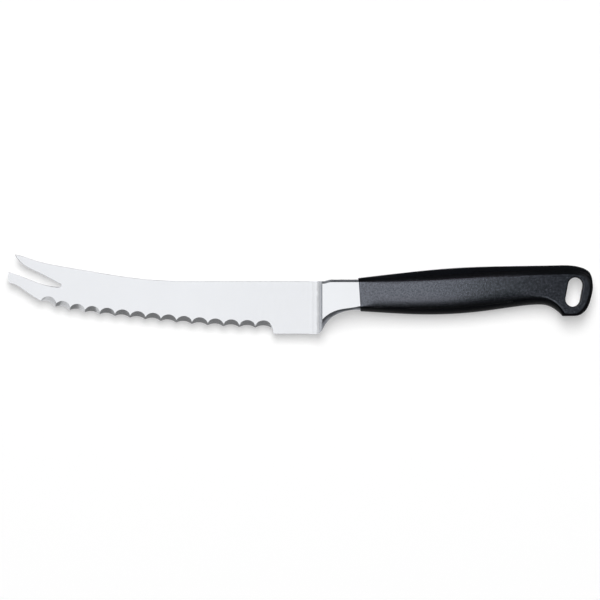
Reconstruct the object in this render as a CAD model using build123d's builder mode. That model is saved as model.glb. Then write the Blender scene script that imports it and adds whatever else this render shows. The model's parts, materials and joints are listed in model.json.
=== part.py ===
from build123d import *

import os
from math import cos, radians, sqrt, tan

# A tomato knife lying on its side, in millimetres. +X runs from the fork to the butt,
# +Y runs towards the spine, and +Z points out of the face that carries the scallop grinds.
# The origin is under the middle of the knife, on the surface that it lies on.

# Lengths along the knife
blade_length = 129.1  # from the fork's end to the crease where the bolster's side begins
bolster_length = 15.2  # from that crease to the handle
handle_length = 95.7  # from the bolster to the butt

# Heights above and below the centre line, which runs through the bolster
fork_rise = 16.3  # top of the fork's upper prong
heel_drop = 16.3  # bottom of the heel
spine_height = 5.35  # straight part of the spine
bolster_top = 6.05
bolster_bottom = 6.4
handle_height = 20.8  # over the butt, the handle's highest part

# Thicknesses across the knife
bolster_thickness = 13.2  # the handle's sides are flush with the bolster's
crown_angle = 30.0  # degrees by which the rounded top leaves a side face, at their crease
crown_power = 1.5  # how the crown bends from there: 1 is a plain bevel, 2 a parabola
spine_thickness = 2.0  # at the bolster
edge_thickness = 1.3  # behind the last tooth, before it is ground
tip_thickness = 1.5  # at the end of the fork's upper prong
edge_break = 0.15  # bevel along the blade's spine, prongs and heel

# Bolster
ramp_land = 0.15  # upright step left between the hollow ramp and the bolster's side
ramp_sink = 0.01  # how far under the blade's face the ramp starts, so that it rises out of it
shoulder_length = 3.7  # where the top rises from the spine to the bolster
top_crown = 1.1  # rise of the rounded top above the side faces
bottom_crown = 1.6  # the same under the bolster, at the joint
joint_lean = 3.9  # degrees, how far the joint with the handle leans back at the bottom

# Fork
root_width = 1.5  # gap between the prongs at its closed end
prong_corner = 0.45  # rounding of the prongs' ends

# Scallops
scallop_count = 15
scallop_spread_share = 0.045  # how much the scallops widen from the fork to the heel
grind_depth = 2.9  # from the teeth's points up to the top of a grind, on the ground face
edge_depth = 1.0  # from the teeth's points up to the middle of a cutting arc
ridge_depth = 1.2  # from the teeth's points up to where two grinds meet on the ground face
grind_overrun_share = 0.25  # how far a grind's cone is carried past each face of the blade

# Tang
tang_length = 74.0
tang_root_height = 9.0
tang_end_height = 6.0
tang_thickness = 3.0
tang_rise = 2.6  # how far its end lies above the centre line, as the handle curves up
tang_root_depth = 3.0  # how far its outline is drawn into the bolster
window_count = 3
window_width = 3.2
window_length = 8.0

# Handle
handle_proud = 0.6  # step from the bolster out to the handle, above and below
side_step = 0.05  # the same where the handle's side face meets its rounded top and bottom
slot_width = 6.2
slot_tilt = 10.5  # degrees, the slot's top leans to the butt
slot_inset = 7.6  # from the butt to the slot's centre
slot_top_gap = 1.05  # from the top of the butt's flat side face down to the slot
slot_bottom_gap = 2.82  # from the bottom of that face up to the slot
slot_rim = 0.5  # rounding of the slot's mouths

overrun = 1.0  # how far cutting shapes pass the faces that they cut

# Outlines. Along the blade a place is a share of blade_length ahead of the crease; its
# height is a share of fork_rise above the centre line, or of heel_drop below it.
spine_start_share = 0.35  # where the straight spine begins to sweep up
# the same along the blade, but heights run from the straight spine to the fork's top
spine_sweep_shares = (
    (0.535, 0.045),
    (0.626, 0.160),
    (0.766, 0.430),
    (0.871, 0.650),
    (0.926, 0.826),
    (0.955, 0.945),
    (0.978, 1.0),
)
upper_prong_shares = ((0.965, 0.845), (0.950, 0.738), (0.902, 0.543), (0.865, 0.389))
root_share = (0.8308, 0.2245)  # the round end of the gap between the prongs
lower_prong_shares = ((0.856, 0.194), (0.905, 0.287), (0.950, 0.427), (0.975, 0.502))
prong_end_shares = ((0.9990, 0.565), (1.0, 0.430), (0.9970, 0.292))
prong_belly_shares = ((0.967, 0.200), (0.950, 0.110), (0.9264, -0.020))
tooth_line_shares = (
    (0.8935, -0.168),
    (0.8436, -0.325),
    (0.801, -0.401),
    (0.660, -0.548),
    (0.466, -0.712),
    (0.317, -0.807),
    (0.162, -0.843),
)
heel_step_shares = ((0.1590, -0.905), (0.1545, -1.0))  # behind the last tooth

# Underside of the bolster. Along it a place is a share of the way from the joint to the
# bolster's front, and its depth is a share of the drop from the underside to the heel.
underside_shares = (
    (0.257, 0.044),
    (0.457, 0.192),
    (0.6175, 0.450),
    (0.699, 0.697),
    (0.753, 0.889),
    (0.840, 1.0),
)
# the same on the side faces, which end further forward and higher up
side_underside_shares = (
    (0.257, 0.100),
    (0.457, 0.185),
    (0.6175, 0.350),
    (0.731, 0.550),
    (0.811, 0.740),
    (0.957, 1.0),
)

# Handle. Each row has a point of the outline, then the point where the flat side face
# ends beside it, both as shares of handle_length behind the joint and of handle_height.
top_shares = (
    ((0.177, 0.417), (0.177, 0.248)),
    ((0.365, 0.504), (0.365, 0.286)),
    ((0.605, 0.552), (0.605, 0.349)),
    ((0.845, 0.570), (0.845, 0.387)),
    ((0.949, 0.532), (0.927, 0.382)),
)
butt_shares = (
    ((0.985, 0.439), (0.9645, 0.332)),
    ((1.0, 0.212), (0.984, 0.192)),
    ((0.993, -0.064), (0.979, -0.062)),
    ((0.973, -0.297), (0.959, -0.266)),
    ((0.951, -0.392), (0.942, -0.346)),
    ((0.918, -0.430), (0.912, -0.381)),
)
hook_shares = ((0.871, -0.431), (0.883, -0.381))
grip_shares = (
    ((0.837, -0.291), (0.8495, -0.175)),
    ((0.8025, -0.218), (0.81, -0.060)),
    ((0.760, -0.204), (0.760, -0.010)),
    ((0.674, -0.242), (0.674, 0.0)),
    ((0.5366, -0.331), (0.5366, -0.050)),
    ((0.399, -0.388), (0.399, -0.100)),
    ((0.2685, -0.399), (0.2685, -0.135)),
    ((0.159, -0.380), (0.159, -0.165)),
)
# levels of the lofted outlines above the middle, as shares of half the thickness
rise_shares = (0.3, 0.5, 0.65, 0.8, 0.9, 0.96, 0.99, 1.0)

# Places worked out from the sizes above
tip_x = -(blade_length + bolster_length + handle_length) / 2
crease_x = tip_x + blade_length
joint_x = crease_x + bolster_length
butt_x = joint_x + handle_length
half_thickness = bolster_thickness / 2
middle = Plane.XY.offset(half_thickness)
level_shares = [-share for share in reversed(rise_shares)] + [0.0] + list(rise_shares)
ramp_radius = (bolster_thickness - spine_thickness) / 2 - ramp_land
ramp_x = crease_x - ramp_radius
bolster_front_x = ramp_x - ramp_land
underside_length = joint_x - bolster_front_x
slot_top = top_shares[-1][1][1] * handle_height - slot_top_gap
slot_bottom = butt_shares[-1][1][1] * handle_height + slot_bottom_gap
slot_height = (slot_top + slot_bottom) / 2
slot_length = slot_width + (slot_top - slot_bottom - slot_width) / cos(radians(slot_tilt))


def blade_point(share):
    """Place of a blade outline point, from its shares of the blade's length and height."""
    along, up = share
    reach = fork_rise if up > 0 else heel_drop
    return (crease_x - along * blade_length, up * reach)


def joint_point(y):
    """Point of the leaning joint between bolster and handle, at a height."""
    return (joint_x - y * tan(radians(joint_lean)), y)


def direction(start, end):
    """Direction from one point of an outline to another."""
    return Vector(*end) - Vector(*start)


# The blade's side faces are flat. Each passes through half the thickness at three places.
tooth_line_points = [blade_point(share) for share in tooth_line_shares]
fork_top_x = crease_x - spine_sweep_shares[-1][0] * blade_length
edge_y = tooth_line_points[-1][1]
at_spine = Vector(crease_x, spine_height, spine_thickness / 2)
at_edge = Vector(crease_x, edge_y, edge_thickness / 2)
at_fork = Vector(fork_top_x, fork_rise, tip_thickness / 2)
ground_normal = (at_fork - at_spine).cross(at_edge - at_spine).normalized()
flat_normal = Vector(ground_normal.X, ground_normal.Y, -ground_normal.Z)
blade_half = Vector(0, 0, spine_thickness / 2)
spine_middle = Vector(crease_x, spine_height, half_thickness)
ground_side = Plane(origin=spine_middle + blade_half, x_dir=(1, 0, 0), z_dir=ground_normal)
flat_side = Plane(origin=spine_middle - blade_half, x_dir=(1, 0, 0), z_dir=flat_normal)


def half_blade(x, y):
    """Half the blade's thickness at a place, before the scallops are ground."""
    return (at_spine - Vector(x, y, 0)).dot(ground_normal) / ground_normal.Z


def tooth_share(tooth):
    """Place of a tooth's point along the toothed edge."""
    even = tooth / scallop_count
    return even - scallop_spread_share * even * (1 - even)


def arc_radius(half_width, depth):
    """Radius of the arc that is this wide and this deep."""
    return (half_width**2 + depth**2) / (2 * depth)


def crowned(widest, side, share):
    """Point between the widest outline and the side face, at a share of half the thickness."""
    across = direction(widest, side)
    depth = (1 - abs(share)) * half_thickness
    reach = crown_power * across.length * tan(radians(crown_angle))
    return Vector(*widest) + across * max(1 - depth / reach, 0) ** crown_power


# Hollow-ramped bolster. Its rounded top and underside are lofted through outlines from
# side face to side face, and the ramp is cut out of it from above.
def bolster_outline(share):
    """Draw the bolster's outline at a share of half its thickness."""
    drop = heel_drop - bolster_bottom

    def top_point(x, y):
        return crowned((x, y), (x, y - top_crown), share)

    def underside_point(row, side_row):
        widest, side = [
            (joint_x - along * underside_length, -bolster_bottom + rise - down * drop)
            for (along, down), rise in ((row, 0), (side_row, bottom_crown))
        ]
        return crowned(widest, side, share)

    spine_corner = top_point(bolster_front_x, spine_height)
    spine_end = top_point(crease_x, spine_height)
    shoulder = top_point(crease_x + shoulder_length, bolster_top)
    joint_top = joint_point(top_point(joint_x, bolster_top).Y)
    rows = zip(underside_shares, side_underside_shares)
    underside = [underside_point(row, side_row) for row, side_row in rows]
    joint_bottom = joint_point(underside_point((0, 0), (0, 0)).Y)
    heel_corner = (bolster_front_x, underside[-1].Y)
    with BuildSketch(middle.offset(share * half_thickness)) as outline:
        with BuildLine():
            Line(spine_corner, spine_end)
            Spline(spine_end, shoulder, tangents=((1, 0), (1, 0)))
            Line(shoulder, joint_top)
            Line(joint_top, joint_bottom)
            Spline([joint_bottom] + underside)
            Line(underside[-1], heel_corner)
            Line(heel_corner, spine_corner)
        make_face()
    return outline.sketch


def ramp_profile(y):
    """Draw the plan of the hollow ramps and the block behind them at a height."""
    base = half_blade(ramp_x, y) - ramp_sink
    with BuildSketch(Plane.XZ.offset(-y)) as profile:
        with Locations((bolster_front_x, half_thickness)):
            length = joint_x + bolster_length - bolster_front_x
            Rectangle(length, 2 * bolster_thickness, align=(Align.MIN, Align.CENTER))
        for side in (1, -1):
            face = half_thickness + side * base
            with BuildLine():
                Line((bolster_front_x, face), (ramp_x, face))
                JernArc((ramp_x, face), (1, 0), ramp_radius, side * 90)
                side_line = face + side * ramp_radius
                outer = half_thickness + side * bolster_thickness
                Polyline(
                    (crease_x, side_line),
                    (crease_x, outer),
                    (bolster_front_x, outer),
                    (bolster_front_x, face),
                )
            make_face(mode=Mode.SUBTRACT)
    return profile.sketch


with BuildPart() as bolster:
    loft([bolster_outline(share) for share in level_shares], ruled=True)
    ramps = [ramp_profile(-heel_drop - overrun), ramp_profile(bolster_top + overrun)]
    loft(ramps, ruled=True, mode=Mode.INTERSECT)


# Tang, hidden in the handle. The plastic fills its windows and so locks the two together.
tang_tilt = Vector(tang_length, tang_rise).get_angle(Vector(1, 0))
with BuildPart() as tang:
    with BuildSketch(middle):
        with BuildLine():
            end_x = joint_x + tang_length - tang_end_height / 2
            end_top = (end_x, tang_rise + tang_end_height / 2)
            end_bottom = (end_x, tang_rise - tang_end_height / 2)
            Polyline(
                end_bottom,
                (joint_x, -tang_root_height / 2),
                (joint_x - tang_root_depth, -tang_root_height / 2),
                (joint_x - tang_root_depth, tang_root_height / 2),
                (joint_x, tang_root_height / 2),
                end_top,
            )
            ThreePointArc(end_top, (joint_x + tang_length, tang_rise), end_bottom)
        make_face()
        for window in range(window_count):
            along = (window + 1) / (window_count + 1)
            with Locations((joint_x + along * tang_length, along * tang_rise)):
                SlotOverall(window_length, window_width, rotation=tang_tilt, mode=Mode.SUBTRACT)
    extrude(amount=tang_thickness / 2, both=True)


# Blade. The plate is cut to its outline, ground flat on both sides so that it thins to the
# edge and to the fork, and then the scallops are ground into the upper face.
with BuildPart() as blade:
    with BuildSketch(middle):
        with BuildLine() as plate:
            spine_start = (crease_x - spine_start_share * blade_length, spine_height)
            sweep = [spine_start]
            for along, up in spine_sweep_shares:
                rise = up * (fork_rise - spine_height)
                sweep.append((crease_x - along * blade_length, spine_height + rise))
            root = blade_point(root_share)
            root_top = (root[0] - root_width / 2, root[1] + root_width / 2)
            root_bottom = (root[0] - root_width / 2, root[1] - root_width / 2)
            upper = [sweep[-1]] + [blade_point(share) for share in upper_prong_shares] + [root_top]
            end = [blade_point(share) for share in prong_end_shares]
            lower = [root_bottom] + [blade_point(share) for share in lower_prong_shares] + [end[0]]
            belly = [end[-1]] + [blade_point(share) for share in prong_belly_shares]
            heel_step = [blade_point(share) for share in heel_step_shares]
            rear_x = ramp_x + ramp_radius / 2
            Line((rear_x, spine_height), spine_start)
            Spline(sweep, tangents=((-1, 0), direction(sweep[-2], sweep[-1])))
            Spline(upper)
            ThreePointArc(root_top, root, root_bottom)
            Spline(lower)
            Spline(end)
            Spline(belly + [tooth_line_points[0]])
            tooth_line = Spline(tooth_line_points)
            ThreePointArc(tooth_line_points[-1], heel_step[0], heel_step[1])
            Line(heel_step[1], (rear_x, -heel_drop))
            Line((rear_x, -heel_drop), (rear_x, spine_height))
        make_face()
        fillet(vertices().sort_by(Axis.X)[:2], radius=prong_corner)
    extrude(amount=spine_thickness, both=True)
    split(bisect_by=ground_side, keep=Keep.BOTTOM)
    split(bisect_by=flat_side, keep=Keep.BOTTOM)
    # all round both faces, except where the plate ends in the bolster and where the teeth are
    upper_rims = faces().sort_by(Axis.Z)[-1].edges().sort_by(Axis.X)[:-1]
    lower_rims = faces().sort_by(Axis.Z)[0].edges().sort_by(Axis.X)[:-1]
    tooth_middle = tooth_line @ 0.5
    rims = [rim for rim in upper_rims + lower_rims if rim.distance_to(tooth_middle) > spine_thickness]
    chamfer(rims, length=edge_break)
    add(bolster.part)
    add(tang.part)
    teeth = [tooth_line @ tooth_share(tooth) for tooth in range(scallop_count + 1)]
    for front_tooth, back_tooth in zip(teeth, teeth[1:]):
        chord = back_tooth - front_tooth
        centre = (front_tooth + back_tooth) / 2
        up = Vector(-chord.Y, chord.X).normalized()
        half = half_blade(centre.X, centre.Y)
        grind_radius = arc_radius(chord.length / 2, grind_depth - ridge_depth)
        edge_radius = arc_radius(chord.length / 2, edge_depth)
        # an oblique cone: its circles on the two faces are known, and it runs past both
        levels = []
        for share in (-grind_overrun_share, 1 + grind_overrun_share):
            level = half - share * 2 * half
            radius = grind_radius + share * (edge_radius - grind_radius)
            depth = grind_depth + share * (edge_depth - grind_depth)
            place = centre + up * (depth - radius)
            with BuildSketch(middle.offset(level)) as circle:
                with Locations((place.X, place.Y)):
                    Circle(radius)
            levels.append(circle.sketch)
        loft(levels, ruled=True, mode=Mode.SUBTRACT)


# Handle. It is lofted from face to face of the knife: each section is the outline, drawn
# in towards the flat side face by a crown above and by a soft round below. Straight steps
# between close levels keep the rounds light.
def handle_section(share):
    """Draw the handle's section at a share of half its thickness."""
    soft = 1 - sqrt(1 - share * share)

    def place(along, up):
        return (joint_x + along * handle_length, up * handle_height)

    def crowned_point(row):
        widest, side = row
        return crowned(place(*widest), place(*side), share)

    def soft_point(row):
        widest, side = [Vector(*place(*point)) for point in row]
        return widest + (side - widest) * soft

    side_top = bolster_top - top_crown + side_step
    side_bottom = bottom_crown - bolster_bottom - side_step
    front_top = crowned((joint_x, bolster_top + handle_proud), (joint_x, side_top), share).Y
    front_bottom = -bolster_bottom - handle_proud
    front_bottom += (side_bottom - front_bottom) * soft
    back = [joint_point(front_top)] + [crowned_point(row) for row in top_shares + butt_shares]
    hook = crowned_point(hook_shares)
    grip = [hook] + [soft_point(row) for row in grip_shares] + [joint_point(front_bottom)]
    with BuildSketch(middle.offset(share * half_thickness)) as section:
        with BuildLine():
            Spline(back, tangents=(direction(back[0], back[1]), (-1, 0)))
            Line(back[-1], hook)
            Spline(grip)
            Line(grip[-1], back[0])
        make_face()
    return section.sketch


with BuildPart() as handle:
    loft([handle_section(share) for share in level_shares], ruled=True)
    add(tang.part, mode=Mode.SUBTRACT)
    with BuildSketch(Plane.XY.offset(-overrun)):
        with Locations((butt_x - slot_inset, slot_height)):
            SlotOverall(slot_length, slot_width, rotation=90 - slot_tilt)
    extrude(amount=bolster_thickness + 2 * overrun, mode=Mode.SUBTRACT)
    slot_levels = edges(Select.LAST).group_by(Axis.Z)
    fillet(slot_levels[0] + slot_levels[-1], radius=slot_rim)

blade.part.label = "blade"
handle.part.label = "handle"
os.makedirs("parts", exist_ok=True)
export_step(blade.part, "parts/blade.step")
export_step(handle.part, "parts/handle.step")

for piece in (blade.part, handle.part):
    print(piece.label, len(piece.solids()), "solid", round(piece.volume, 1), "mm3", piece.is_valid)
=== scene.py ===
"""A tomato knife that lies on its side on a white table, seen from straight above.

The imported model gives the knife's shape and place. This script gives its surfaces their
finish, and adds the table, the lamps and the camera of a plain product photograph.
"""

import json
import logging
import math
from dataclasses import dataclass
from enum import Enum
from typing import Sequence

import bmesh
import bpy
from bpy.types import NodeSocket
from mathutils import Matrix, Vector

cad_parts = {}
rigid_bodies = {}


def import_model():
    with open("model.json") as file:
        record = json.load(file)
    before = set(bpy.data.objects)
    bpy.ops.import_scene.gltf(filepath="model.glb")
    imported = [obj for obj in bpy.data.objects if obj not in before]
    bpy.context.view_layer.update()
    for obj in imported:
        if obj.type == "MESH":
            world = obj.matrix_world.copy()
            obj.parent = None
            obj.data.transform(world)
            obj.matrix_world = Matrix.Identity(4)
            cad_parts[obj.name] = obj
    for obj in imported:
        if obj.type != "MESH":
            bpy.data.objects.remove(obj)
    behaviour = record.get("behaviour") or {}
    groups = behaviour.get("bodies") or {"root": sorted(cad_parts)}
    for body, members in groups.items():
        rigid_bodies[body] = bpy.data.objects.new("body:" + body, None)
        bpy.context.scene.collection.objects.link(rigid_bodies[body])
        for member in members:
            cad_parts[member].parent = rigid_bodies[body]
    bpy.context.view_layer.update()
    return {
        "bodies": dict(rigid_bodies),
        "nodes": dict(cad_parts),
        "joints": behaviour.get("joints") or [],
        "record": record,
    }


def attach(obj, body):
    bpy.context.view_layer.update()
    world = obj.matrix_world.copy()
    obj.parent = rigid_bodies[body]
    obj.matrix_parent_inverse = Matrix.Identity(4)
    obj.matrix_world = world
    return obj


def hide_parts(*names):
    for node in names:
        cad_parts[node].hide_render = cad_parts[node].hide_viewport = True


log = logging.getLogger("knife")
MM = 0.001
# the span of a share, and the span that most of a noise pattern lies in
WHOLE = (0.0, 1.0)
MIDDLE = (0.3, 0.7)


class Lay(Enum):
    """The way that the fine lines of a surface run."""

    ACROSS = "from the spine to the edge"
    NONE = "no lines, a moulded or buffed surface"


class NodeBoard:
    """A material's or the room's nodes, while they are laid out and joined."""

    def __init__(self, owner: bpy.types.ID) -> None:
        """Turn the owner's nodes on.

        Args:
            owner: The material or the world that the nodes belong to.
        """
        owner.use_nodes = True
        self.tree = owner.node_tree

    def add(self, kind: str, **settings: object) -> bpy.types.Node:
        """Add a node.

        Args:
            kind: Blender's name of the node type.
            settings: Attributes of the node, by name.

        Returns:
            The new node.
        """
        node = self.tree.nodes.new(kind)
        for name, value in settings.items():
            setattr(node, name, value)
        return node

    def join(self, source: NodeSocket, target: NodeSocket) -> None:
        """Join an output to an input."""
        self.tree.links.new(source, target)

    def maths(
        self, operation: str, first: NodeSocket, second: NodeSocket | float | None = None
    ) -> NodeSocket:
        """Work out a number from one or two others.

        Args:
            operation: Blender's name of the sum.
            first: Output that gives the first number.
            second: Output that gives the second number, or the number, if there is one.

        Returns:
            The output that carries the result.
        """
        node = self.add("ShaderNodeMath", operation=operation)
        self.join(first, node.inputs[0])
        if isinstance(second, NodeSocket):
            self.join(second, node.inputs[1])
        elif second is not None:
            node.inputs[1].default_value = second
        return node.outputs[0]

    def spread(
        self, source: NodeSocket, low: float, high: float, span: tuple[float, float] = MIDDLE
    ) -> NodeSocket:
        """Spread a pattern over a range of values.

        Args:
            source: Output that gives the pattern.
            low: Value at the lower end of the span.
            high: Value at its upper end.
            span: The part of the pattern's own range that is used.

        Returns:
            The output that carries the value.
        """
        node = self.add("ShaderNodeMapRange", interpolation_type="SMOOTHSTEP")
        self.join(source, node.inputs["Value"])
        node.inputs["From Min"].default_value, node.inputs["From Max"].default_value = span
        node.inputs["To Min"].default_value = low
        node.inputs["To Max"].default_value = high
        return node.outputs["Result"]

    def ramp(
        self, source: NodeSocket, stops: Sequence[tuple[float, Sequence[float]]]
    ) -> NodeSocket:
        """Turn a pattern into colours.

        Args:
            source: Output that gives the pattern.
            stops: Values of the pattern, rising, and the colour at each.

        Returns:
            The output that carries the colour.
        """
        node = self.add("ShaderNodeValToRGB")
        steps = node.color_ramp.elements
        for _ in stops[2:]:
            steps.new(1.0)
        for step, (place, colour) in zip(steps, stops):
            step.position = place
            step.color = (*colour, 1)
        self.join(source, node.inputs["Fac"])
        return node.outputs["Color"]

    def scaled(self, colour: NodeSocket, factor: NodeSocket) -> NodeSocket:
        """Make a colour lighter or darker.

        Args:
            colour: Output that gives the colour.
            factor: Output that gives the factor.

        Returns:
            The output that carries the new colour.
        """
        node = self.add("ShaderNodeVectorMath", operation="SCALE")
        self.join(colour, node.inputs[0])
        self.join(factor, node.inputs["Scale"])
        return node.outputs[0]

    def noise(self, scale: Vector, detail: float) -> NodeSocket:
        """Lay a noise pattern in the piece's own coordinates.

        Args:
            scale: How many of the pattern's lumps fit in a metre, along each axis.
            detail: How many finer layers it has.

        Returns:
            The output that carries the pattern.
        """
        place = self.add("ShaderNodeTexCoord")
        stretch = self.add("ShaderNodeMapping")
        stretch.inputs["Scale"].default_value = scale
        self.join(place.outputs["Object"], stretch.inputs["Vector"])
        noise = self.add("ShaderNodeTexNoise")
        noise.inputs["Scale"].default_value = 1
        noise.inputs["Detail"].default_value = detail
        self.join(stretch.outputs["Vector"], noise.inputs["Vector"])
        return noise.outputs["Fac"]

    def parts(self, vector: NodeSocket) -> tuple[NodeSocket, NodeSocket, NodeSocket]:
        """Take a place or a direction apart.

        Args:
            vector: Output that gives it.

        Returns:
            The outputs that carry its X, Y and Z.
        """
        node = self.add("ShaderNodeSeparateXYZ")
        self.join(vector, node.inputs["Vector"])
        return tuple(node.outputs)


@dataclass(frozen=True)
class Patterns:
    """The outputs that a finish is worked out from.

    Attributes:
        cloud: Slow changes from place to place.
        fine: The lines or the grain.
        rubbed: 1 on a rubbed edge and 0 elsewhere.
        facing: The direction that the surface faces, before the grain is laid on.
    """

    cloud: NodeSocket
    fine: NodeSocket
    rubbed: NodeSocket
    facing: NodeSocket


@dataclass(frozen=True)
class Finish:
    """What the steel's and the plastic's finishes share.

    Attributes:
        name: The material's name.
        colour: The middle of its colours.
        roughness: The middle of its roughness.
        roughness_spread: How far the roughness goes up and down from there.
        shade_spread: How much lighter and darker the colour gets, as a share.
        cloud: Size of the slow changes.
        cloud_detail: How many finer layers they have.
        cloud_span: The part of the patterns over which the colour changes.
        lay: The way that the fine lines run.
        line_width: Width of such a line.
        line_length: Its length.
        grain: Size of a grain, where there are no lines.
        grain_detail: How many finer layers the lines or the grain have.
        depth: Depth of the lines or the grain.
        mottle: The part of the grain in the colour's changes, as a share.
        wear: How much lighter and smoother a rubbed edge is, as a share.
        wear_width: How far from an edge the rubbing reaches.
        wear_span: How far a face and a rounded edge agree where the rubbing is full and ends.
        wear_least: What is left of it in the hollows of the grain, as a share.
        wear_samples: How often each point feels for an edge.
        crisp: Whether the finish ends at a sharp line.
    """

    name: str
    colour: tuple[float, float, float]
    roughness: float
    roughness_spread: float = 0.03
    shade_spread: float = 0.04
    cloud: float = 18 * MM
    cloud_detail: int = 2
    cloud_span: tuple[float, float] = MIDDLE
    lay: Lay = Lay.NONE
    line_width: float = 0.12 * MM
    line_length: float = 14 * MM
    grain: float = 0.3 * MM
    grain_detail: int = 3
    depth: float = 0.001 * MM
    mottle: float = 0.0
    wear: float = 0.15
    wear_width: float = 0.5 * MM
    wear_span: tuple[float, float] = (0.93, 0.999)
    wear_least: float = 0.4
    wear_samples: int = 4
    crisp: bool = False

    def make(self) -> bpy.types.Material:
        """Build the material.

        Returns:
            The material, with its pattern in the piece's own coordinates.
        """
        material = bpy.data.materials.new(self.name)
        board = NodeBoard(material)
        shader = board.tree.nodes["Principled BSDF"]
        cloud = board.noise(Vector([1 / self.cloud] * 3), self.cloud_detail)
        fine = board.noise(self.fine_scale(), self.grain_detail)
        patterns = Patterns(cloud, fine, self.rubbed(board, fine), self.facing(board))
        self.shade(board, shader, patterns)
        self.roughen(board, shader, patterns)
        self.set_fixed(shader)
        return material

    def fine_scale(self) -> Vector:
        """Give the scale of the finest pattern.

        Returns:
            How many lines or grains fit in a metre, along each axis.
        """
        if self.lay is Lay.ACROSS:
            return Vector((1 / self.line_width, 1 / self.line_length, 1 / self.line_width))
        return Vector([1 / self.grain] * 3)

    def rubbed(self, board: NodeBoard, fine: NodeSocket) -> NodeSocket:
        """Find the edges, which use has rubbed.

        Args:
            board: The material's nodes.
            fine: Output that carries the grain, which breaks the rubbed line up.

        Returns:
            The output that is 1 where an edge is rubbed and 0 elsewhere.
        """
        rounded = board.add("ShaderNodeBevel", samples=self.wear_samples)
        rounded.inputs["Radius"].default_value = self.wear_width
        surface = board.add("ShaderNodeNewGeometry")
        match = board.add("ShaderNodeVectorMath", operation="DOT_PRODUCT")
        board.join(rounded.outputs["Normal"], match.inputs[0])
        board.join(surface.outputs["Normal"], match.inputs[1])
        edge = board.spread(match.outputs["Value"], 1, 0, self.wear_span)
        return board.maths("MULTIPLY", edge, board.spread(fine, self.wear_least, 1))

    def facing(self, board: NodeBoard) -> NodeSocket:
        """Give the direction that the surface faces, before the grain is laid on.

        Args:
            board: The material's nodes.

        Returns:
            The output that carries it.
        """
        return board.add("ShaderNodeNewGeometry").outputs["Normal"]

    def colouring(self, board: NodeBoard, patterns: Patterns) -> NodeSocket:
        """Work out the colour, with slow changes, a share of the grain and rubbed edges.

        Args:
            board: The material's nodes.
            patterns: What it is worked out from.

        Returns:
            The output that carries the colour.
        """
        slow = board.maths("MULTIPLY", patterns.cloud, 1 - self.mottle)
        pattern = board.maths("ADD", slow, board.maths("MULTIPLY", patterns.fine, self.mottle))
        low, high = self.cloud_span
        dark = [part * (1 - self.shade_spread) for part in self.colour]
        light = [part * (1 + self.shade_spread) for part in self.colour]
        colour = board.ramp(pattern, ((low, dark), (high, light)))
        return board.scaled(colour, board.spread(patterns.rubbed, 1, 1 + self.wear, WHOLE))

    def shade(self, board: NodeBoard, shader: bpy.types.Node, patterns: Patterns) -> None:
        """Colour the surface.

        Args:
            board: The material's nodes.
            shader: The node that takes the colour.
            patterns: What the colour is worked out from.
        """
        board.join(self.colouring(board, patterns), shader.inputs["Base Color"])

    def roughen(self, board: NodeBoard, shader: bpy.types.Node, patterns: Patterns) -> None:
        """Lay the grain on, and make the surface rougher in places and smoother at its edges.

        Args:
            board: The material's nodes.
            shader: The node that takes the roughness and the direction.
            patterns: What they are worked out from.
        """
        spread = self.roughness_spread
        rough = board.spread(patterns.fine, self.roughness - spread, self.roughness + spread)
        slow = board.spread(patterns.cloud, 1 - spread, 1 + spread)
        rough = board.maths("MULTIPLY", rough, slow)
        edges = board.spread(patterns.rubbed, 1, 1 - self.wear, WHOLE)
        board.join(board.maths("MULTIPLY", rough, edges), shader.inputs["Roughness"])
        bump = board.add("ShaderNodeBump")
        bump.inputs["Distance"].default_value = self.depth
        board.join(patterns.fine, bump.inputs["Height"])
        board.join(patterns.facing, bump.inputs["Normal"])
        board.join(bump.outputs["Normal"], shader.inputs["Normal"])

    def set_fixed(self, shader: bpy.types.Node) -> None:
        """Set what is the same all over the surface."""


@dataclass(frozen=True)
class Steel(Finish):
    """Stainless steel."""

    def set_fixed(self, shader: bpy.types.Node) -> None:
        """Make the surface a metal."""
        shader.inputs["Metallic"].default_value = 1


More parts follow.
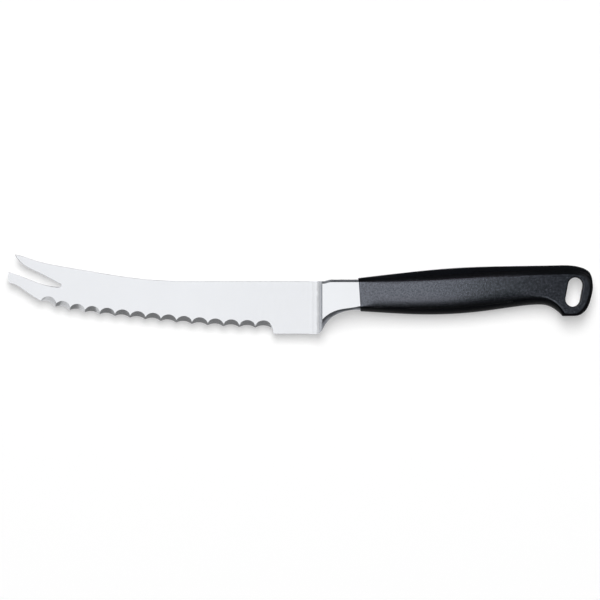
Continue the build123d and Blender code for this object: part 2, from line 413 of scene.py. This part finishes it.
@dataclass(frozen=True)
class Plastic(Finish):
    """Moulded plastic.

    Attributes:
        specular: How strongly it mirrors.
        ior: Its index of refraction.
        tint: Colour of what it mirrors.
        dimmed: How much duller it mirrors in the hollows of its grain, as a share.
        crease_radius: Radius that the creases beside its side faces seem to have.
        crease_samples: How often each point feels for a crease.
        upper_share: The radius of the crease on the spine's side, as a share of that.
        upper_span: Where the one radius becomes the other, across the handle.
        grip_start: Where the creases get their radius, along the handle.
        grip_end: Where they lose it.
        painted_shade_by_facing: Painted shade: what is left of its colours and of its mirror
            images, by how far up or down it faces, from 0 to 1.
    """

    specular: float = 0.5
    ior: float = 1.5
    tint: tuple[float, float, float] = (1.0, 1.0, 1.0)
    dimmed: float = 0.0
    crease_radius: float = 0.0
    crease_samples: int = 8
    upper_share: float = 0.38
    upper_span: tuple[float, float] = (1.5 * MM, 4.5 * MM)
    grip_start: tuple[float, float] = (24.5 * MM, 32 * MM)
    grip_end: tuple[float, float] = (86 * MM, 98 * MM)
    painted_shade_by_facing: tuple[tuple[float, float], ...] = ((0.0, 1.0), (1.0, 1.0))

    def facing(self, board: NodeBoard) -> NodeSocket:
        """Round the creases beside the side faces, less on the spine's side, not at the ends.

        Args:
            board: The material's nodes.

        Returns:
            The output that carries the direction that the rounded surface faces.
        """
        if not self.crease_radius:
            return super().facing(board)
        place = board.add("ShaderNodeTexCoord")
        along, across, _ = board.parts(place.outputs["Object"])
        narrowed = board.spread(across, 1, self.upper_share, self.upper_span)
        grip = board.spread(along, 0, self.crease_radius, self.grip_start)
        grip = board.maths("MULTIPLY", grip, board.spread(along, 1, 0, self.grip_end))
        soft = board.add("ShaderNodeBevel", samples=self.crease_samples)
        board.join(board.maths("MULTIPLY", narrowed, grip), soft.inputs["Radius"])
        return soft.outputs["Normal"]

    def shade(self, board: NodeBoard, shader: bpy.types.Node, patterns: Patterns) -> None:
        """Colour the surface, with painted shade that makes its colour and its mirror images
        duller where it turns away, and with duller mirroring in the hollows of its grain.

        Args:
            board: The material's nodes.
            shader: The node that takes the colours.
            patterns: What the colours are worked out from.
        """
        # painted shade: the colour and the mirror tint are scaled by how far the surface faces up
        # or down
        _, _, up = board.parts(patterns.facing)
        stops = [(height, [share] * 3) for height, share in self.painted_shade_by_facing]
        painted_shade = board.ramp(board.maths("ABSOLUTE", up), stops)
        colour = self.colouring(board, patterns)
        board.join(board.scaled(colour, painted_shade), shader.inputs["Base Color"])
        low, high = self.cloud_span
        hollow = [part * (1 - self.dimmed) for part in self.tint]
        tint = board.ramp(patterns.fine, ((low, hollow), (high, self.tint)))
        board.join(board.scaled(tint, painted_shade), shader.inputs["Specular Tint"])

    def set_fixed(self, shader: bpy.types.Node) -> None:
        """Set how strongly the surface mirrors."""
        shader.inputs["IOR"].default_value = self.ior
        shader.inputs["Specular IOR Level"].default_value = self.specular


@dataclass(frozen=True)
class Piece:
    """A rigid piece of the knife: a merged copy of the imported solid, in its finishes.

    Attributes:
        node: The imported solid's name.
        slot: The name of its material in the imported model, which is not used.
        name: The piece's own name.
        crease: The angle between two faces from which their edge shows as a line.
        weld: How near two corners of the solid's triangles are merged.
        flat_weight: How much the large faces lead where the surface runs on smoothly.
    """

    node: str
    slot: str
    name: str
    crease: float = math.radians(21)
    weld: float = 0.002 * MM
    flat_weight: int = 100

    def finishes(self) -> tuple[Finish, ...]:
        """Give the piece's finishes, in the order of its material slots."""
        raise NotImplementedError

    def finish_at(self, place: Vector, normal: Vector) -> Finish:
        """Choose the finish of a face.

        Args:
            place: The face's middle.
            normal: The direction that it faces.

        Returns:
            The finish, which is one of the piece's own.
        """
        raise NotImplementedError

    def is_smooth(self, edge: bmesh.types.BMEdge) -> bool:
        """Tell whether the surface runs on smoothly over an edge.

        Args:
            edge: An edge of the merged copy.

        Returns:
            False at a crease, and where a crisp finish ends.
        """
        if len(edge.link_faces) != 2 or edge.calc_face_angle() > self.crease:
            return False
        kinds = self.finishes()
        first, second = (kinds[face.material_index] for face in edge.link_faces)
        return first is second or not (first.crisp or second.crisp)

    def build(self, frame: dict) -> bpy.types.Object:
        """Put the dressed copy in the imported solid's place.


        Returns:
            The new object.
        """
        source = frame["nodes"][self.node]
        mesh = bpy.data.meshes.new(self.name)
        form = bmesh.new()
        form.from_mesh(source.data)
        form.transform(source.matrix_world)
        bmesh.ops.remove_doubles(form, verts=form.verts, dist=self.weld)
        form.normal_update()
        kinds = self.finishes()
        for face in form.faces:
            face.smooth = True
            finish = self.finish_at(face.calc_center_median(), face.normal)
            face.material_index = kinds.index(finish)
        for edge in form.edges:
            edge.smooth = self.is_smooth(edge)
        form.to_mesh(mesh)
        form.free()
        for finish in kinds:
            mesh.materials.append(finish.make())
        piece = bpy.data.objects.new(self.name, mesh)
        bpy.context.scene.collection.objects.link(piece)
        weighted = piece.modifiers.new("true flats", "WEIGHTED_NORMAL")
        weighted.keep_sharp = True
        weighted.weight = self.flat_weight
        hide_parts(self.node)
        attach(piece, "root")
        return piece


@dataclass(frozen=True)
class Blade(Piece):
    """The forging: the scalloped blade and the bolster.

    Attributes:
        ramp_front: Where the hollow ramp starts, along the knife.
        bolster_front: Where it ends and the bolster's sides start.
        flat_tilt: How far up or down a flat side faces, from 0 to 1, at least.
        underside: How far towards the spine the ramp's underside faces, at most. Below 0
            is away from it.
        satin: Finish of the flat sides and the hollow ramp.
        polished: Finish of the bolster's sides.
        ground: Finish of the scallops and the edges.
        painted_dark: Finish of the bolster's rounds and the ramp's underside: steel painted dark,
            a painted shade in place of the dark surroundings that these faces mirror.
    """

    node: str = "blade"
    slot: str = "steel"
    name: str = "dressed_blade"
    ramp_front: float = 3.7 * MM
    bolster_front: float = 9.05 * MM
    flat_tilt: float = math.cos(math.radians(4))
    underside: float = -0.25
    satin: Steel = Steel(
        "satin_steel",
        (0.56, 0.57, 0.59),
        roughness=0.22,
        lay=Lay.ACROSS,
        shade_spread=0.015,
    )
    polished: Steel = Steel(
        "polished_steel",
        (0.57, 0.58, 0.60),
        roughness=0.15,
        grain=0.6 * MM,
        depth=0.0004 * MM,
        shade_spread=0.015,
    )
    ground: Steel = Steel(
        "ground_steel",
        (0.62, 0.63, 0.65),
        roughness=0.27,
        lay=Lay.ACROSS,
        line_width=0.09 * MM,
        line_length=3 * MM,
        depth=0.003 * MM,
        crisp=True,
    )
    # painted shade: a dark steel on the bolster's rounds and the ramp's underside, standing in for
    # the dark surroundings that they would mirror
    painted_dark: Steel = Steel(
        "painted_dark_steel",
        (0.2, 0.21, 0.23),
        roughness=0.3,
        grain=0.8 * MM,
        depth=0.004 * MM,
        crisp=True,
    )

    def finishes(self) -> tuple[Finish, ...]:
        """Give the blade's finishes."""
        return (self.satin, self.polished, self.ground, self.painted_dark)

    def finish_at(self, place: Vector, normal: Vector) -> Finish:
        """Choose the finish of a face.

        Args:
            place: The face's middle.
            normal: The direction that it faces.

        Returns:
            The finish of the part of the forging that the face belongs to.
        """
        flat = abs(normal.z) > self.flat_tilt
        if place.x > self.bolster_front:
            return self.polished if flat else self.painted_dark
        if place.x > self.ramp_front:
            return self.painted_dark if normal.y < self.underside else self.satin
        return self.satin if flat else self.ground


@dataclass(frozen=True)
class Handle(Piece):
    """The moulding: grained side faces between smoother rounds.

    Attributes:
        side_tilt: How far up or down the grained surface faces, from 0 to 1, at least.
        grained: Finish of the side faces and the start of the rounds.
        smooth: Finish of the rest of the rounds.
    """

    node: str = "handle"
    slot: str = "grip_plastic"
    name: str = "dressed_handle"
    side_tilt: float = math.cos(math.radians(38))
    grained: Plastic = Plastic(
        "grained_plastic",
        (0.012, 0.014, 0.018),
        roughness=0.16,
        roughness_spread=0.05,
        grain=0.7 * MM,
        depth=0.02 * MM,
        shade_spread=0.4,
        cloud_span=(0.38, 0.62),
        mottle=0.8,
        dimmed=0.38,
        crease_radius=7.5 * MM,
        specular=0.93,
        ior=1.7,
        tint=(0.82, 0.87, 1.0),
        # painted shade: colour and mirroring fall off as the rounds turn away from the side face
        painted_shade_by_facing=((0.77, 0.06), (0.84, 0.1), (0.91, 0.22), (0.966, 0.58), (0.99, 0.97), (1.0, 1.0)),
    )
    smooth: Plastic = Plastic(
        "smooth_plastic",
        (0.011, 0.013, 0.018),
        roughness=0.55,
        grain=0.7 * MM,
        depth=0.015 * MM,
        shade_spread=0.35,
        cloud_span=(0.38, 0.62),
        mottle=0.6,
        specular=0.04,
        # painted shade: the rounds are darker where they face further up or down, lighter where
        # they face sideways
        painted_shade_by_facing=((0.0, 1.0), (0.2, 0.6), (0.42, 0.2), (1.0, 0.2)),
    )

    def finishes(self) -> tuple[Finish, ...]:
        """Give the handle's finishes."""
        return (self.grained, self.smooth)

    def finish_at(self, place: Vector, normal: Vector) -> Finish:
        """Choose the finish of a face.

        Args:
            place: The face's middle.
            normal: The direction that it faces.

        Returns:
            The grained finish on the side faces and beside them, or else the smooth one.
        """
        return self.smooth if abs(normal.z) < self.side_tilt else self.grained


@dataclass(frozen=True)
class Softbox:
    """A flat lamp, which the camera doesn't see.

    Attributes:
        name: The lamp's name.
        place: Its middle.
        aim: The point that it faces.
        size: Its width and depth.
        radiance: How bright it looks.
        mirrored: Whether the knife mirrors it.
        lights: Whether it lights matt surfaces.
    """

    name: str
    place: tuple[float, float, float]
    aim: tuple[float, float, float]
    size: tuple[float, float]
    radiance: float
    mirrored: bool = True
    lights: bool = True

    def build(self) -> None:
        """Hang the lamp."""
        width, depth = self.size
        lamp = bpy.data.lights.new(self.name, "AREA")
        lamp.shape = "RECTANGLE"
        lamp.size = width
        lamp.size_y = depth
        # a flat lamp's power is pi times its area times its radiance
        lamp.energy = self.radiance * math.pi * width * depth
        stand = bpy.data.objects.new(self.name, lamp)
        stand.location = self.place
        stand.rotation_mode = "QUATERNION"
        towards = Vector(self.aim) - Vector(self.place)
        stand.rotation_quaternion = towards.to_track_quat("-Z", "Y")
        stand.visible_camera = False
        stand.visible_glossy = self.mirrored
        stand.visible_diffuse = self.lights
        bpy.context.scene.collection.objects.link(stand)


@dataclass(frozen=True)
class Studio:
    """The white table, the lamps and the room round them.

    Attributes:
        table_side: Length of the table's sides.
        table_colour: The grey that the lamps light.
        table_glow: What the camera and the knife see on top of that.
        lamps: The flat lamps: five that the knife mirrors, and the key, which lights the rest.
        room: The room's brightness by height, from 0 at the table's level to 1 straight up.
        window_glow: How much brighter than the room its two windows are.
        window_aside: How far aside they lie, from where they start to where they are full.
        window_behind: How far back they lie, in the same way.
    """

    table_side: float = 8.0
    table_colour: float = 0.56
    table_glow: float = 0.465
    lamps: tuple[Softbox, ...] = (
        Softbox(
            "overhead", (-0.035, 0.0, 0.38), (-0.035, 0.0, 0.0), (0.23, 0.40), 1.43, lights=False
        ),
        Softbox(
            "far_overhead",
            (-0.6625, 0.0, 0.38),
            (-0.6625, 0.0, 0.0),
            (1.025, 0.40),
            1.24,
            lights=False,
        ),
        Softbox("left_card", (-1.2, 0.0, 0.19), (0.0, 0.0, 0.19), (0.5, 0.38), 0.8, lights=False),
        Softbox("back_card", (-0.16, 0.6, 0.2), (-0.16, 0.0, 0.2), (0.2, 0.2), 0.45, lights=False),
        Softbox(
            "fork_card",
            (-0.122, -0.03, 0.024),
            (-0.122, 0.0, 0.024),
            (0.048, 0.036),
            0.65,
            lights=False,
        ),
        Softbox("key", (0.0, 0.99, 2.88), (0.0, 0.0, 0.0), (1.2, 1.86), 14.7, mirrored=False),
    )
    room: tuple[tuple[float, float], ...] = ((0.0, 0.2), (0.5, 0.28), (0.9, 0.1))
    window_glow: float = 3.5
    window_aside: tuple[float, float] = (0.03, 0.45)
    window_behind: tuple[float, float] = (0.0, 0.4)

    def build(self) -> None:
        """Make the table, the lamps and the room."""
        self.lay_table()
        for lamp in self.lamps:
            lamp.build()
            log.info("%s lamp hung", lamp.name)
        self.light_room()

    def lay_table(self) -> None:
        """Lay the white table under the knife."""
        mesh = bpy.data.meshes.new("table")
        form = bmesh.new()
        bmesh.ops.create_grid(form, x_segments=1, y_segments=1, size=self.table_side / 2)
        form.to_mesh(mesh)
        form.free()
        table = bpy.data.objects.new("table", mesh)
        bpy.context.scene.collection.objects.link(table)
        mesh.materials.append(self.whiten())

    def whiten(self) -> bpy.types.Material:
        """Make the table's material.

        Returns:
            A matt grey that looks white, and that keeps the knife's shadow.
        """
        material = bpy.data.materials.new("white_table")
        board = NodeBoard(material)
        shader = board.tree.nodes["Principled BSDF"]
        shader.inputs["Base Color"].default_value = (*[self.table_colour] * 3, 1)
        shader.inputs["Roughness"].default_value = 1
        shader.inputs["Specular IOR Level"].default_value = 0
        shader.inputs["Emission Color"].default_value = (1, 1, 1, 1)
        ray = board.add("ShaderNodeLightPath")
        seen = board.maths("ADD", ray.outputs["Is Camera Ray"], ray.outputs["Is Glossy Ray"])
        seen = board.maths("ADD", seen, ray.outputs["Is Transmission Ray"])
        glow = board.maths("MULTIPLY", seen, self.table_glow)
        board.join(glow, shader.inputs["Emission Strength"])
        return material

    def light_room(self) -> None:
        """Give the room a dim light and two windows at the back, which only show when mirrored."""
        world = bpy.data.worlds.new("room")
        board = NodeBoard(world)
        place = board.add("ShaderNodeTexCoord")
        along, back, up = board.parts(place.outputs["Generated"])
        backdrop = board.tree.nodes["Background"]
        colour = board.ramp(up, [(height, [level] * 3) for height, level in self.room])
        board.join(colour, backdrop.inputs["Color"])
        aside = board.spread(board.maths("ABSOLUTE", along), 0, 1, self.window_aside)
        behind = board.spread(back, 0, self.window_glow, self.window_behind)
        window = board.maths("ADD", board.maths("MULTIPLY", aside, behind), 1.0)
        board.join(window, backdrop.inputs["Strength"])
        world.cycles_visibility.diffuse = False
        bpy.context.scene.world = world


@dataclass(frozen=True)
class Camera:
    """The camera straight above the knife, with a long lens.

    Attributes:
        height: Height of the lens over the table.
        frame_width: What the picture shows from side to side.
        frame_level: The height over the table at which it shows that.
        aim: The point under the lens.
        sensor: Width of the sensor, in millimetres.
        nearest: Where the camera starts to see.
        farthest: Where it stops.
    """

    height: float = 4.0
    frame_width: float = 246.36 * MM
    frame_level: float = 8.0 * MM
    aim: tuple[float, float] = (-0.1 * MM, -2.36 * MM)
    sensor: float = 36.0
    nearest: float = 0.05
    farthest: float = 50.0

    def build(self) -> None:
        """Make the camera and give it to the scene."""
        camera = bpy.data.cameras.new("camera")
        camera.sensor_width = self.sensor
        camera.lens = self.sensor * (self.height - self.frame_level) / self.frame_width
        camera.clip_start = self.nearest
        camera.clip_end = self.farthest
        stand = bpy.data.objects.new("camera", camera)
        stand.location = (*self.aim, self.height)
        bpy.context.scene.collection.objects.link(stand)
        bpy.context.scene.camera = stand


def main() -> None:
    """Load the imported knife, set the studio round it and dress it."""
    logging.basicConfig(level=logging.INFO, format="%(name)s: %(message)s")
    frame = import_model()
    Camera().build()
    Studio().build()
    for piece in (Blade(), Handle()):
        mesh = piece.build(frame).data
        log.info("%s: %d faces, %d finishes", piece.name, len(mesh.polygons), len(mesh.materials))
    bpy.context.scene.view_settings.view_transform = "Standard"


if __name__ == "__main__":
    main()
